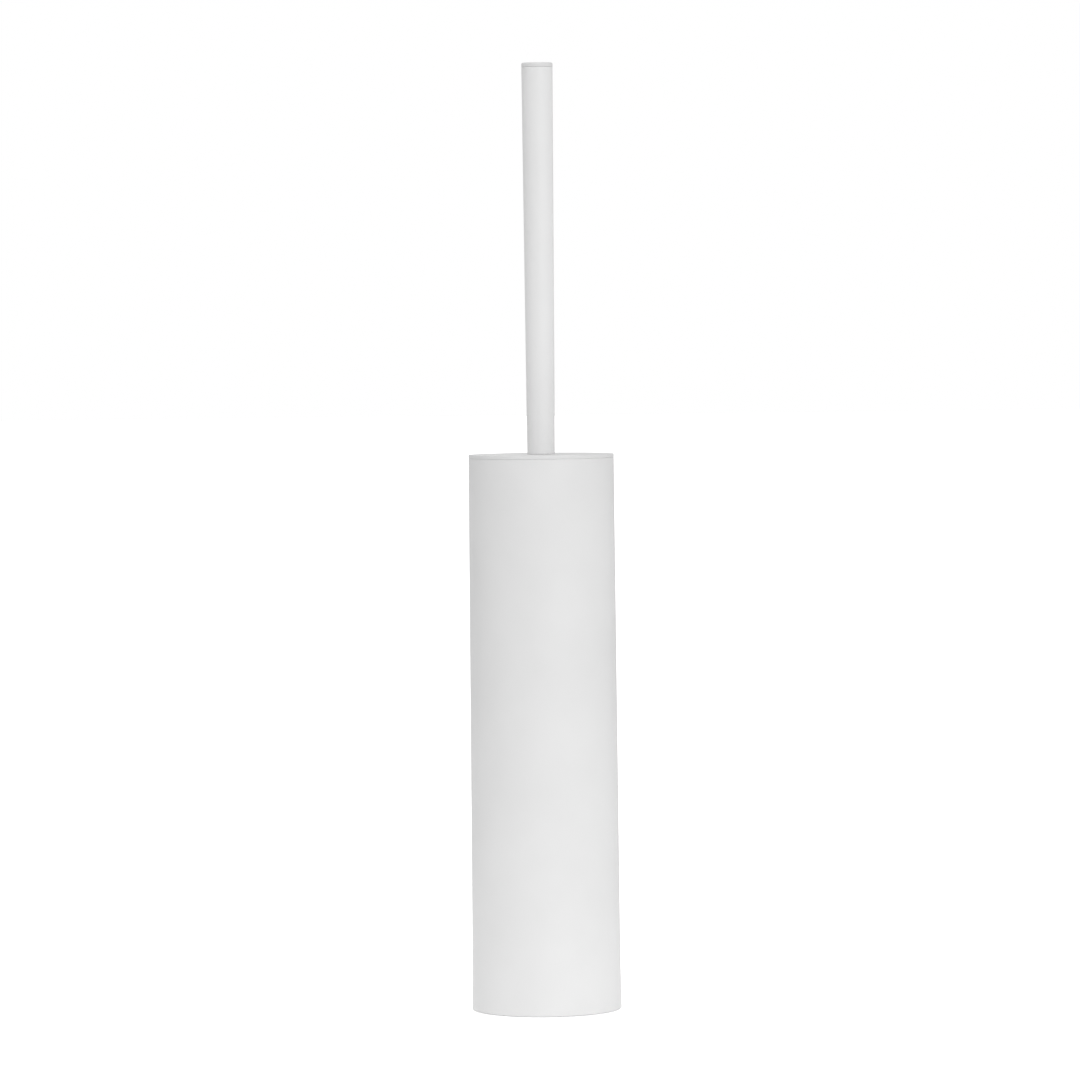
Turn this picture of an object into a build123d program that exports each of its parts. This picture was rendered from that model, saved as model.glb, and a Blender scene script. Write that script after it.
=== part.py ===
from build123d import *

import os

# Toilet brush holder: a slim standing sleeve with a lift-out liner, and a brush that hangs from its lid.
# Millimetres. Origin at the centre of the foot, on the floor; +Z up. Every turned piece is on the Z axis.

# Sleeve: a moulded tube, a little wider at its foot than at its rim.
RIM_R = 39.65
WAIST_R, WAIST_Z = 40.48, 46.0  # below the waist the wall flares out in one long arc
FOOT_R = 41.0
SLEEVE_Z0, SLEEVE_Z1 = 0.5, 302.0
WALL = 2.2
FOOT_EDGE_ROUND = 0.8
RIM_EDGE_ROUND = 0.1
LEDGE_R, LEDGE_Z0, LEDGE_Z1 = 36.1, 294.0, 296.5  # carries the liner's seat ring
LEDGE_SLOPE = 1.5  # the height over which the wall thickens to the ledge
SHOULDER_Z = 7.0  # the base plate is pushed up against this shoulder
SHOULDER_R = 37.9

# Base: plate, steel ballast, screws and rubber foot.
PLATE_R, PLATE_Z0 = 38.3, 2.0
PLATE_BORE_R = 38.4
GROOVE_IN_R, GROOVE_OUT_R, GROOVE_Z = 30.0, 36.0, 3.6
FOOT_IN_R, FOOT_OUT_R, FOOT_EDGE = 30.2, 35.8, 0.7
BALLAST_R, BALLAST_H, BALLAST_EDGE = 34.0, 10.0, 0.8
SCREW_COUNT, SCREW_CIRCLE_R = 3, 20.0
SCREW_R, SCREW_HEAD_R, SCREW_END_Z = 1.95, 3.9, 14.0
SCREW_HOLE_GAP = 0.1
SOCKET_R, SOCKET_DEPTH = 1.35, 1.3  # hexagon sockets; the radius is to a corner

# Liner: a removable cup that hangs by its flange.
SEAT_IN_R, SEAT_OUT_R, SEAT_H = 36.2, 37.3, 1.7
FLANGE_R, FLANGE_T = 37.05, 2.0
LINER_TOP_R, LINER_FOOT_R, LINER_Z0 = 35.6, 34.4, 19.0
LINER_WALL, LINER_FLOOR = 1.4, 1.8
LINER_ROUND = 5.0
NOTCH_W, NOTCH_DEPTH = 18.0, 1.1

# Lid: a thin disc with a seam under it, a locator that centres it and a bush for the stem.
LID_TOP, LID_T, LID_EDGE_ROUND = 304.0, 1.8, 0.25
GASKET_IN_R, GASKET_OUT_R, GASKET_T = 37.9, 39.5, 0.15
LOCATOR_R, LOCATOR_WALL, LOCATOR_Z0, WEB_T = 33.7, 2.0, 292.0, 1.4
LOCATOR_LEAD_IN = 0.8
BUSH_FLANGE_R, BUSH_FLANGE_T, BUSH_R, BUSH_Z0 = 7.0, 0.8, 5.5, 300.0
BUSH_BORE_R = 4.08

# Handle and stem.
HANDLE_Z0, HANDLE_Z1 = 304.15, 517.0
HANDLE_FOOT_R, HANDLE_TOP_R = 7.55, 8.5
HANDLE_WALL = 1.3
CAP_Z0, CAP_SEAM, CAP_EDGE_ROUND = 514.6, 0.1, 0.8
SPIGOT_R, SPIGOT_Z0 = 7.1, 505.0
INSERT_R, INSERT_Z0, INSERT_Z1 = 6.2, 304.6, 328.0
STEM_R, STEM_Z0, STEM_Z1, STEM_CHAMFER = 4.0, 88.0, 326.0, 0.6
THREAD_GAP = 0.05
COLLAR_R, COLLAR_Z0, COLLAR_Z1, COLLAR_EDGE = 8.0, 291.6, 299.7, 0.5
GRUB_R, GRUB_END_R, GRUB_FACE_R, GRUB_SOCKET_R = 2.0, 4.1, 7.6, 1.15
NUT_FLATS, NUT_Z0, NUT_H = 13.0, 100.2, 6.5

# Brush head: a moulded core that screws on the stem, with its bristles as plain solids.
WASHER_R, WASHER_BORE_R, WASHER_Z0, WASHER_T = 7.0, 4.3, 98.2, 1.8
CORE_R, CORE_Z0, CORE_Z1, CORE_SHOULDER = 9.5, 46.0, 98.0, 2.0
CORE_BORE_R, CORE_BORE_Z = 5.6, 84.0
NECK_INSERT_Z0, NECK_INSERT_Z1 = 84.6, 97.8
BRISTLE_R, BRISTLE_Z0, BRISTLE_SPLIT_Z, BRISTLE_Z1 = 29.0, 36.0, 50.0, 92.0
TIP_FLAT_R = 15.0  # the tip's corner is then a quarter round
BRISTLE_EDGE = 3.0

# Worked out from the dimensions above.
SEAT_TOP = LEDGE_Z1 + SEAT_H
FLANGE_TOP = SEAT_TOP + FLANGE_T
LID_Z0 = LID_TOP - LID_T
WEB_Z0 = LID_Z0 - WEB_T
LINER_FLOOR_Z = LINER_Z0 + LINER_FLOOR
TUBE_TOP = CAP_Z0 - CAP_SEAM
HANDLE_TAPER = (HANDLE_TOP_R - HANDLE_FOOT_R) / (HANDLE_Z1 - HANDLE_Z0)
MID_LOW = (Align.CENTER, Align.CENTER, Align.MIN)

os.makedirs("parts", exist_ok=True)


def handle_r(z):
    """The handle's outer radius at a height."""
    return HANDLE_FOOT_R + HANDLE_TAPER * (z - HANDLE_Z0)


# ---- Holder ----

with BuildPart() as outer_sleeve:
    with BuildSketch(Plane.XZ):
        with BuildLine():
            side = Line((RIM_R, SLEEVE_Z1), (WAIST_R, WAIST_Z))
            flare = TangentArc(side @ 1, (FOOT_R, SLEEVE_Z0), tangent=side % 1)
            Polyline(
                flare @ 1,
                (PLATE_BORE_R, SLEEVE_Z0),
                (PLATE_BORE_R, SHOULDER_Z),
                (SHOULDER_R, SHOULDER_Z),
                (RIM_R - WALL, LEDGE_Z0 - LEDGE_SLOPE),
                (LEDGE_R, LEDGE_Z0),
                (LEDGE_R, LEDGE_Z1),
                (RIM_R - WALL, LEDGE_Z1),
                (RIM_R - WALL, SLEEVE_Z1),
                (RIM_R, SLEEVE_Z1),
            )
        make_face()
    revolve(axis=Axis.Z)
    foot_edge = outer_sleeve.edges().filter_by(GeomType.CIRCLE).group_by(Axis.Z)[0].sort_by(SortBy.RADIUS)[-1]
    fillet(foot_edge, FOOT_EDGE_ROUND)
    fillet(outer_sleeve.edges().filter_by(GeomType.CIRCLE).group_by(Axis.Z)[-1], RIM_EDGE_ROUND)
outer_sleeve.part.label = "outer_sleeve"

with BuildPart() as base_plate:
    with BuildSketch(Plane.XY.offset(PLATE_Z0)):
        Circle(PLATE_R)
    extrude(amount=SHOULDER_Z - PLATE_Z0)
    with BuildSketch(Plane.XY.offset(PLATE_Z0)):
        Circle(GROOVE_OUT_R)
        Circle(GROOVE_IN_R, mode=Mode.SUBTRACT)
    extrude(amount=GROOVE_Z - PLATE_Z0, mode=Mode.SUBTRACT)
    with PolarLocations(SCREW_CIRCLE_R, SCREW_COUNT):
        with Locations((0, 0, PLATE_Z0)):
            Cylinder(
                SCREW_R + SCREW_HOLE_GAP,
                SHOULDER_Z - PLATE_Z0,
                align=MID_LOW,
                mode=Mode.SUBTRACT,
            )
            Cone(
                SCREW_HEAD_R + SCREW_HOLE_GAP,
                SCREW_R + SCREW_HOLE_GAP,
                SCREW_HEAD_R - SCREW_R,
                align=MID_LOW,
                mode=Mode.SUBTRACT,
            )
base_plate.part.label = "base_plate"

with BuildPart() as ballast_disc:
    with BuildSketch(Plane.XY.offset(SHOULDER_Z)):
        Circle(BALLAST_R)
        with PolarLocations(SCREW_CIRCLE_R, SCREW_COUNT):
            Circle(SCREW_R + THREAD_GAP, mode=Mode.SUBTRACT)
    extrude(amount=BALLAST_H)
    rims = ballast_disc.edges().filter_by(GeomType.CIRCLE).group_by(SortBy.RADIUS)[-1]
    chamfer(rims, BALLAST_EDGE)
ballast_disc.part.label = "ballast_disc"

with BuildPart() as base_screws:
    with PolarLocations(SCREW_CIRCLE_R, SCREW_COUNT):
        with Locations((0, 0, PLATE_Z0 + SCREW_HOLE_GAP)):
            Cone(SCREW_HEAD_R, SCREW_R, SCREW_HEAD_R - SCREW_R, align=MID_LOW)
            Cylinder(SCREW_R, SCREW_END_Z - PLATE_Z0 - SCREW_HOLE_GAP, align=MID_LOW)
    with BuildSketch(Plane.XY.offset(PLATE_Z0 + SCREW_HOLE_GAP)):
        with PolarLocations(SCREW_CIRCLE_R, SCREW_COUNT):
            RegularPolygon(SOCKET_R, 6)
    extrude(amount=SOCKET_DEPTH, mode=Mode.SUBTRACT)
base_screws.part.label = "base_screws"

with BuildPart() as foot_ring:
    with BuildSketch():
        Circle(FOOT_OUT_R)
        Circle(FOOT_IN_R, mode=Mode.SUBTRACT)
    extrude(amount=GROOVE_Z)
    fillet(foot_ring.edges().group_by(Axis.Z)[0], FOOT_EDGE)
foot_ring.part.label = "foot_ring"

with BuildPart() as liner_seat_ring:
    with BuildSketch(Plane.XY.offset(LEDGE_Z1)):
        Circle(SEAT_OUT_R)
        Circle(SEAT_IN_R, mode=Mode.SUBTRACT)
    extrude(amount=SEAT_H)
liner_seat_ring.part.label = "liner_seat_ring"

# ---- Liner ----

with BuildPart() as liner_cup:
    with BuildSketch(Plane.XZ):
        with BuildLine():
            Polyline(
                (0, LINER_Z0),
                (LINER_FOOT_R, LINER_Z0),
                (LINER_TOP_R, SEAT_TOP),
                (FLANGE_R, SEAT_TOP),
                (FLANGE_R, FLANGE_TOP),
                (LINER_TOP_R - LINER_WALL, FLANGE_TOP),
                (LINER_FOOT_R - LINER_WALL, LINER_FLOOR_Z),
                (0, LINER_FLOOR_Z),
                close=True,
            )
        make_face()
    revolve(axis=Axis.Z)
    floor_edges = liner_cup.edges().filter_by(GeomType.CIRCLE).filter_by_position(
        Axis.Z, LINER_Z0 - 1, LINER_FLOOR_Z + 1
    )
    fillet(floor_edges, LINER_ROUND - LINER_WALL)
    with BuildSketch(Plane.XY.offset(SEAT_TOP)):
        with Locations((0, FLANGE_R), (0, -FLANGE_R)):
            Rectangle(NOTCH_W, 2 * NOTCH_DEPTH)
    extrude(amount=FLANGE_T, mode=Mode.SUBTRACT)
liner_cup.part.label = "liner_cup"

# ---- Lid ----

with BuildPart() as lid_disc:
    with BuildSketch(Plane.XY.offset(LID_Z0)):
        Circle(RIM_R)
        Circle(BUSH_R, mode=Mode.SUBTRACT)
    extrude(amount=LID_T)
    with BuildSketch(Plane.XY.offset(LID_TOP)):
        Circle(BUSH_FLANGE_R)
    extrude(amount=-BUSH_FLANGE_T, mode=Mode.SUBTRACT)
    fillet(lid_disc.edges().filter_by(GeomType.CIRCLE).group_by(SortBy.RADIUS)[-1], LID_EDGE_ROUND)
lid_disc.part.label = "lid_disc"

with BuildPart() as lid_gasket:
    with BuildSketch(Plane.XY.offset(LID_Z0)):
        Circle(GASKET_OUT_R)
        Circle(GASKET_IN_R, mode=Mode.SUBTRACT)
    extrude(amount=-GASKET_T)
lid_gasket.part.label = "lid_gasket"

with BuildPart() as lid_locator:
    with BuildSketch(Plane.XY.offset(LID_Z0)):
        Circle(LOCATOR_R)
        Circle(BUSH_R, mode=Mode.SUBTRACT)
    extrude(amount=-WEB_T)
    with BuildSketch(Plane.XY.offset(LOCATOR_Z0)):
        Circle(LOCATOR_R)
        Circle(LOCATOR_R - LOCATOR_WALL, mode=Mode.SUBTRACT)
    extrude(amount=WEB_Z0 - LOCATOR_Z0)
    chamfer(lid_locator.edges().group_by(Axis.Z)[0].sort_by(SortBy.RADIUS)[-1], LOCATOR_LEAD_IN)
lid_locator.part.label = "lid_locator"

with BuildPart() as lid_bush:
    with BuildSketch(Plane.XY.offset(LID_TOP)):
        Circle(BUSH_FLANGE_R)
    extrude(amount=-BUSH_FLANGE_T)
    with BuildSketch(Plane.XY.offset(BUSH_Z0)):
        Circle(BUSH_R)
    extrude(amount=LID_TOP - BUSH_Z0)
    with BuildSketch(Plane.XY.offset(BUSH_Z0)):
        Circle(BUSH_BORE_R)
    extrude(amount=LID_TOP - BUSH_Z0, mode=Mode.SUBTRACT)
lid_bush.part.label = "lid_bush"

# ---- Handle and stem ----

with BuildPart() as handle_tube:
    with BuildSketch(Plane.XZ):
        with BuildLine():
            Polyline(
                (HANDLE_FOOT_R, HANDLE_Z0),
                (handle_r(TUBE_TOP), TUBE_TOP),
                (handle_r(TUBE_TOP) - HANDLE_WALL, TUBE_TOP),
                (HANDLE_FOOT_R - HANDLE_WALL, HANDLE_Z0),
                close=True,
            )
        make_face()
    revolve(axis=Axis.Z)
handle_tube.part.label = "handle_tube"

with BuildPart() as handle_cap:
    with BuildSketch(Plane.XY.offset(CAP_Z0)):
        Circle(HANDLE_TOP_R)
    extrude(amount=HANDLE_Z1 - CAP_Z0)
    fillet(handle_cap.edges().group_by(Axis.Z)[-1], CAP_EDGE_ROUND)
    with BuildSketch(Plane.XY.offset(SPIGOT_Z0)):
        Circle(SPIGOT_R)
    extrude(amount=CAP_Z0 - SPIGOT_Z0)
handle_cap.part.label = "handle_cap"

with BuildPart() as handle_insert:
    with BuildSketch(Plane.XY.offset(INSERT_Z0)):
        Circle(INSERT_R)
        Circle(STEM_R + THREAD_GAP, mode=Mode.SUBTRACT)
    extrude(amount=INSERT_Z1 - INSERT_Z0)
handle_insert.part.label = "handle_insert"

with BuildPart() as stem:
    with BuildSketch(Plane.XY.offset(STEM_Z0)):
        Circle(STEM_R)
    extrude(amount=STEM_Z1 - STEM_Z0)
    chamfer(stem.edges().filter_by(GeomType.CIRCLE), STEM_CHAMFER)
stem.part.label = "stem"

grub_plane = Plane.YZ.offset(GRUB_END_R)
grub_z = (COLLAR_Z0 + COLLAR_Z1) / 2

with BuildPart() as stem_collar:
    with BuildSketch(Plane.XY.offset(COLLAR_Z0)):
        Circle(COLLAR_R)
    extrude(amount=COLLAR_Z1 - COLLAR_Z0)
    chamfer(stem_collar.edges().filter_by(GeomType.CIRCLE), COLLAR_EDGE)
    with BuildSketch(Plane.XY.offset(COLLAR_Z0)):
        Circle(STEM_R + THREAD_GAP)
    extrude(amount=COLLAR_Z1 - COLLAR_Z0, mode=Mode.SUBTRACT)
    with BuildSketch(Plane.YZ):
        with Locations((0, grub_z)):
            Circle(GRUB_R + THREAD_GAP)
    extrude(amount=2 * COLLAR_R, mode=Mode.SUBTRACT)
stem_collar.part.label = "stem_collar"

with BuildPart() as collar_screw:
    with BuildSketch(grub_plane):
        with Locations((0, grub_z)):
            Circle(GRUB_R)
    extrude(amount=GRUB_FACE_R - GRUB_END_R)
    with BuildSketch(Plane.YZ.offset(GRUB_FACE_R)):
        with Locations((0, grub_z)):
            RegularPolygon(GRUB_SOCKET_R, 6)
    extrude(amount=-SOCKET_DEPTH, mode=Mode.SUBTRACT)
collar_screw.part.label = "collar_screw"

with BuildPart() as lock_nut:
    with BuildSketch(Plane.XY.offset(NUT_Z0)):
        RegularPolygon(NUT_FLATS / 2, 6, major_radius=False)
        Circle(STEM_R + THREAD_GAP, mode=Mode.SUBTRACT)
    extrude(amount=NUT_H)
lock_nut.part.label = "lock_nut"

# ---- Brush head ----

with BuildPart() as seal_washer:
    with BuildSketch(Plane.XY.offset(WASHER_Z0)):
        Circle(WASHER_R)
        Circle(WASHER_BORE_R, mode=Mode.SUBTRACT)
    extrude(amount=WASHER_T)
seal_washer.part.label = "seal_washer"

with BuildPart() as brush_core:
    with BuildSketch(Plane.XY.offset(CORE_Z0)):
        Circle(CORE_R)
    extrude(amount=CORE_Z1 - CORE_Z0)
    chamfer(brush_core.edges().group_by(Axis.Z)[-1], CORE_SHOULDER)
    with BuildSketch(Plane.XY.offset(CORE_BORE_Z)):
        Circle(CORE_BORE_R)
    extrude(amount=CORE_Z1 - CORE_BORE_Z, mode=Mode.SUBTRACT)
brush_core.part.label = "brush_core"

with BuildPart() as core_insert:
    with BuildSketch(Plane.XY.offset(NECK_INSERT_Z0)):
        Circle(CORE_BORE_R)
        Circle(STEM_R + THREAD_GAP, mode=Mode.SUBTRACT)
    extrude(amount=NECK_INSERT_Z1 - NECK_INSERT_Z0)
core_insert.part.label = "core_insert"

with BuildPart() as side_bristles:
    with BuildSketch(Plane.XY.offset(BRISTLE_SPLIT_Z)):
        Circle(BRISTLE_R)
        Circle(CORE_R, mode=Mode.SUBTRACT)
    extrude(amount=BRISTLE_Z1 - BRISTLE_SPLIT_Z)
    fillet(side_bristles.edges().group_by(Axis.Z)[-1].sort_by(SortBy.RADIUS)[-1], BRISTLE_EDGE)
side_bristles.part.label = "side_bristles"

with BuildPart() as tip_bristles:
    with BuildSketch(Plane.XZ):
        with BuildLine():
            bottom = Line((0, BRISTLE_Z0), (TIP_FLAT_R, BRISTLE_Z0))
            corner = TangentArc(bottom @ 1, (BRISTLE_R, BRISTLE_SPLIT_Z), tangent=bottom % 1)
            Polyline(
                corner @ 1,
                (CORE_R, BRISTLE_SPLIT_Z),
                (CORE_R, CORE_Z0),
                (0, CORE_Z0),
                (0, BRISTLE_Z0),
            )
        make_face()
    revolve(axis=Axis.Z)
tip_bristles.part.label = "tip_bristles"

for piece in (
    outer_sleeve, base_plate, ballast_disc, base_screws, foot_ring, liner_seat_ring,
    liner_cup,
    lid_disc, lid_gasket, lid_locator, lid_bush,
    handle_tube, handle_cap, handle_insert, stem, stem_collar, collar_screw, lock_nut,
    seal_washer, brush_core, core_insert, side_bristles, tip_bristles,
):
    export_step(piece.part, f"parts/{piece.part.label}.step")
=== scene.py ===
import math

import bpy
import numpy as np
from bpy.props import FloatProperty, IntProperty, PointerProperty, StringProperty
from mathutils import Matrix, Vector


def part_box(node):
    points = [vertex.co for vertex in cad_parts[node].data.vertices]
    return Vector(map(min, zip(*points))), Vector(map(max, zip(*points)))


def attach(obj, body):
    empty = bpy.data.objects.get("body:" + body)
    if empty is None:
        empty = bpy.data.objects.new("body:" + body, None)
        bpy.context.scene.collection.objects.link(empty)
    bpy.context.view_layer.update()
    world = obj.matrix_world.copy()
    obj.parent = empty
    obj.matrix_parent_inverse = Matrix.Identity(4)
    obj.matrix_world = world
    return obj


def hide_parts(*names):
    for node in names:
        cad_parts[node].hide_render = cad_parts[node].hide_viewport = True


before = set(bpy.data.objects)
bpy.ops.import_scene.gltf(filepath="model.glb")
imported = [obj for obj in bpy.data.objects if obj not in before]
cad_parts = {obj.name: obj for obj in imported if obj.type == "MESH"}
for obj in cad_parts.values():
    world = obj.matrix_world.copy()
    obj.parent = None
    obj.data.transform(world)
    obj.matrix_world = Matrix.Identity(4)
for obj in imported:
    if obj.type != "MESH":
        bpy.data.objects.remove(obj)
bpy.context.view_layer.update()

bl_info = {
    "name": "Toilet Brush Holder",
    "version": (1, 0, 0),
    "blender": (4, 5, 0),
    "location": "3D View > Sidebar > Brush Holder",
    "description": "Builds a slim standing toilet brush holder, its brush and a studio around a packed frame",
    "category": "Object",
}

MM = 0.001
TURN = 2 * math.pi
ROUND_STEPS = 6  # stations on each rounded corner of an outline
LONGEST_STEP = 12 * MM  # a long straight run of an outline is divided into stretches no longer than this
SMOOTH_ROUND = 192  # stations round a large turned piece
SMALL_ROUND = 96  # stations round a small one
EASED = 0.2 * MM  # rounding of an edge that only has to be not quite sharp
CRISP = 0.06 * MM  # rounding of an edge that closes a seam
BESIDE = 0.3 * MM  # length of the short step beside a rounded corner
PIT_STEP = 0.35 * MM  # between stations where a face has pits
LEVEL = 1e-7  # two heights or radii closer than this are the same

# Inner places that no node's box gives.
LEDGE_RADIUS, LEDGE_HEIGHT = 36.1 * MM, 2.5 * MM
LEDGE_SLOPE = 1.5 * MM  # height over which the wall thickens to the ledge
SHOULDER_STEP = 0.5 * MM  # from the base plate's bore in to the shoulder over it
PLATE_GAP = 0.1 * MM  # between the base plate and its bore
GROOVE_IN, GROOVE_OUT = 30.0 * MM, 36.0 * MM
FOOT_RING_BORE, FOOT_RING_ROUND = 30.2 * MM, 0.7 * MM
SCREW_CIRCLE, SCREW_SHANK, SCREW_HEAD = 20.0 * MM, 1.95 * MM, 3.9 * MM
SOCKET_FLATS, SOCKET_DEPTH = 2.34 * MM, 1.3 * MM
BALLAST_ROUND = 0.8 * MM
SEAT_BORE, GASKET_BORE = 36.2 * MM, 37.9 * MM
BUSH_STEP, BUSH_LIP = 0.8 * MM, 1.5 * MM  # depth and width of the bush's flange
BUSH_FIT = 0.02 * MM  # between the bush and the lid
LOCATOR_WALL, LOCATOR_WEB = 2.0 * MM, 1.4 * MM
STEM_HOLE = 4.08 * MM
STEM_CHAMFER = 0.6 * MM
GRUB_FLATS, GRUB_GAP, GRUB_HOLE_DEPTH = 1.99 * MM, 0.05 * MM, 1.0 * MM
NUT_FLATS = 13.0 * MM
NUT_SLOPE, NUT_INSET = 0.7 * MM, 0.2 * MM  # height of its chamfer, and its reach inside the flats
THREAD_PITCH, THREAD_DEPTH, THREAD_TOP = 1.25 * MM, 0.62 * MM, 112.0 * MM
THREAD_FLAT = 0.1  # width of a thread's crest and of its root, as a share of the pitch
WASHER_HOLE = 4.3 * MM
CORE_BORE, CORE_BORE_FLOOR, CORE_SHOULDER = 5.6 * MM, 84.0 * MM, 2.0 * MM
BRISTLE_CORNER, BRISTLE_SHOULDER = 14.0 * MM, 3.0 * MM
LINER_UPPER, LINER_LOWER = 35.6 * MM, 34.4 * MM
CAP_SEAM, CAP_GAP = 0.1 * MM, 0.1 * MM
HANDLE_FOOT = 7.55 * MM  # the handle's radius at its lower end

# How the bristles lie.
BRISTLE_SPLAY, BRISTLE_SCATTER = 0.11, 0.025  # spread of the filaments' directions in a tuft
BRISTLE_SWAY, BRISTLE_RAGGED = 0.6 * MM, 0.9 * MM  # bend of a filament, and how far some are cut short
LONGEST_BRISTLE, HALVINGS = 60 * MM, 24
TUFT_SINK, TIP_TUFT_SINK, TIP_TUFT_RISE = 0.5 * MM, 0.8 * MM, 2.5 * MM
TIP_RINGS, TIP_TUFTS = 6, 6  # rings of tufts under the core; ring k has k times the second, ring 0 has one
TIP_LEAN, TIP_TURN = math.radians(80), 2.0  # lean of the last ring's tufts, and its turn in radians


def low(node):
    """The lowest corner of a CAD node, in metres."""
    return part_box(node)[0]


def high(node):
    """The highest corner of a CAD node, in metres."""
    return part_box(node)[1]


# ---------------------------------------------------------------- surfaces

def rounded(corners, closed=True):
    """An outline of (radius, height) points with round corners.

    Each corner is (radius, height, rounding). Its arc is tangent to both sides: the tangent length is the
    rounding divided by the tangent of half the corner's angle, and the arc's points step evenly in angle
    about its centre. A straight run is divided evenly, and a short step beside each arc keeps it flat.
    """
    corners = [tuple(c) if len(c) == 3 else (*c, 0.0) for c in corners]
    places = np.array([c[:2] for c in corners])
    ends = []
    for i, (*_, rounding) in enumerate(corners):
        here, before, after = places[i], places[i - 1], places[(i + 1) % len(corners)]
        at_end = not closed and i in (0, len(corners) - 1)
        if rounding <= 0 or at_end:
            ends.append(here[None])
            continue
        u = (before - here) / np.linalg.norm(before - here)
        v = (after - here) / np.linalg.norm(after - here)
        half = 0.5 * math.acos(np.clip(u @ v, -1, 1))
        middle = (u + v) / np.linalg.norm(u + v)
        centre = here + middle * rounding / math.sin(half)
        start, stop = (here + w * rounding / math.tan(half) - centre for w in (u, v))
        first = math.atan2(start[1], start[0])
        sweep = math.atan2(start[0] * stop[1] - start[1] * stop[0], start @ stop)
        angles = first + sweep * np.linspace(0, 1, ROUND_STEPS + 1)
        ends.append(centre + rounding * np.stack([np.cos(angles), np.sin(angles)], 1))
    line = []
    for i, arc in enumerate(ends):
        line.append(arc)
        if not closed and i == len(ends) - 1:
            break
        a, b = arc[-1], ends[(i + 1) % len(ends)][0]
        length = np.linalg.norm(b - a)
        beside = min(BESIDE, length / 4)
        steps = math.ceil(length / LONGEST_STEP)
        stations = np.arange(1, steps) / steps
        along = np.concatenate([[beside / length], stations, [1 - beside / length]])
        line.append(a + (b - a) * along[:, None])
    return np.concatenate(line)


def lathe(outline, stations=SMOOTH_ROUND, shape=None):
    """Turns an outline round the Z axis.

    The point at outline station i and angle a is (r cos a, r sin a, z). shape, if given, is a function of
    the angles, the outline's radii and its heights, and gives back radii and heights for the whole grid, so
    that a piece may have flats, a thread or pits. An outline that starts and ends on the axis is closed by
    two poles; any other is a closed ring. It runs anticlockwise in the (radius, height) plane, so that
    faces point out. A surface is its points and a list of arrays of faces.
    """
    poles = outline[0, 0] < 1e-9 and outline[-1, 0] < 1e-9
    r, z = (outline[1:-1] if poles else outline).T[:, :, None]
    rows = len(r)
    angle = (np.arange(stations) * TURN / stations)[None]
    if shape:
        r, z = shape(angle, r, z)
    grid = np.broadcast_arrays(r * np.cos(angle), r * np.sin(angle), z + 0 * angle)
    points = np.stack(grid, -1).reshape(-1, 3)
    i = np.arange(rows - 1 if poles else rows)[:, None]
    j = np.arange(stations)[None]
    up, on = (i + 1) % rows, (j + 1) % stations
    quads = np.stack([i * stations + j, i * stations + on, up * stations + on, up * stations + j], -1)
    faces = [quads.reshape(-1, 4)]
    if poles:
        first, last, top = len(points), len(points) + 1, (rows - 1) * stations
        points = np.concatenate([points, [[0, 0, outline[0, 1]], [0, 0, outline[-1, 1]]]])
        j, on = j[0], on[0]
        faces.append(np.stack([np.full(stations, first), on, j], -1))
        faces.append(np.stack([top + j, top + on, np.full(stations, last)], -1))
    return points, faces


def moved(surface, matrix):
    """The same surface with its points carried by a 4 by 4 matrix."""
    points, faces = surface
    m = np.array(matrix)
    return points @ m[:3, :3].T + m[:3, 3], faces


def joined(surfaces):
    """Several surfaces as one."""
    points, faces, count = [], [], 0
    for own_points, own_faces in surfaces:
        points.append(own_points)
        faces += [block + count for block in own_faces]
        count += len(own_points)
    return np.concatenate(points), faces


def hexagon(angle, flats):
    """A hexagon's radius, for that distance across its flats and a corner at angle 0: half the distance,
    over the cosine of the angle to the nearest flat's middle."""
    return flats / 2 / np.cos(angle % (TURN / 6) - TURN / 12)


def three_pits(angle, r, z, face, reach, depth_at):
    """The heights of a turned piece with three pits in one flat face, on the screws' circle. depth_at gives
    the pit's depth, with its sign, from the distance to the nearest screw's axis."""
    nearest = (angle + TURN / 6) % (TURN / 3) - TURN / 6
    away = np.hypot(r * np.cos(nearest) - SCREW_CIRCLE, r * np.sin(nearest))
    on_face = (abs(z - face) < LEVEL) & (away < reach)
    return np.where(on_face, z + depth_at(away), z)


def dense(outline, start, stop, step, axis):
    """The outline with extra stations, step apart, on each run that lies flat between start and stop.
    axis is 0 for runs along the radius and 1 for runs along the height."""
    line = [outline[:1]]
    for a, b in zip(outline[:-1], outline[1:]):
        inside = min(a[axis], b[axis]) < stop and max(a[axis], b[axis]) > start
        if inside and abs(a[1 - axis] - b[1 - axis]) < LEVEL:
            count = math.ceil(abs(b[axis] - a[axis]) / step)
            line.append(a + (b - a) * np.arange(1, count)[:, None] / count)
        line.append(b[None])
    return np.concatenate(line)


def piece(name, surface, material, body, slot, *nodes):
    """Makes one piece: its mesh in place, its material and the body that it rides on, and hides the CAD nodes
    that it stands for; slot is not used.
    """
    points, faces = surface
    mesh = bpy.data.meshes.new(name)
    mesh.from_pydata(points.tolist(), [], sum((block.tolist() for block in faces), []))
    mesh.polygons.foreach_set("use_smooth", np.ones(len(mesh.polygons), bool))
    mesh.materials.append(material)
    mesh.update()
    made = bpy.data.objects.new(name, mesh)
    bpy.context.scene.collection.objects.link(made)
    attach(made, body)
    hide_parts(*nodes)
    return made


# ---------------------------------------------------------------- materials

def linear(hex_colour):
    """A linear colour with alpha from an sRGB hex value, by the sRGB curve."""
    value = [int(hex_colour[k:k + 2], 16) / 255 for k in (1, 3, 5)]
    return (*(v / 12.92 if v <= 0.04045 else ((v + 0.055) / 1.055) ** 2.4 for v in value), 1.0)


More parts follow.
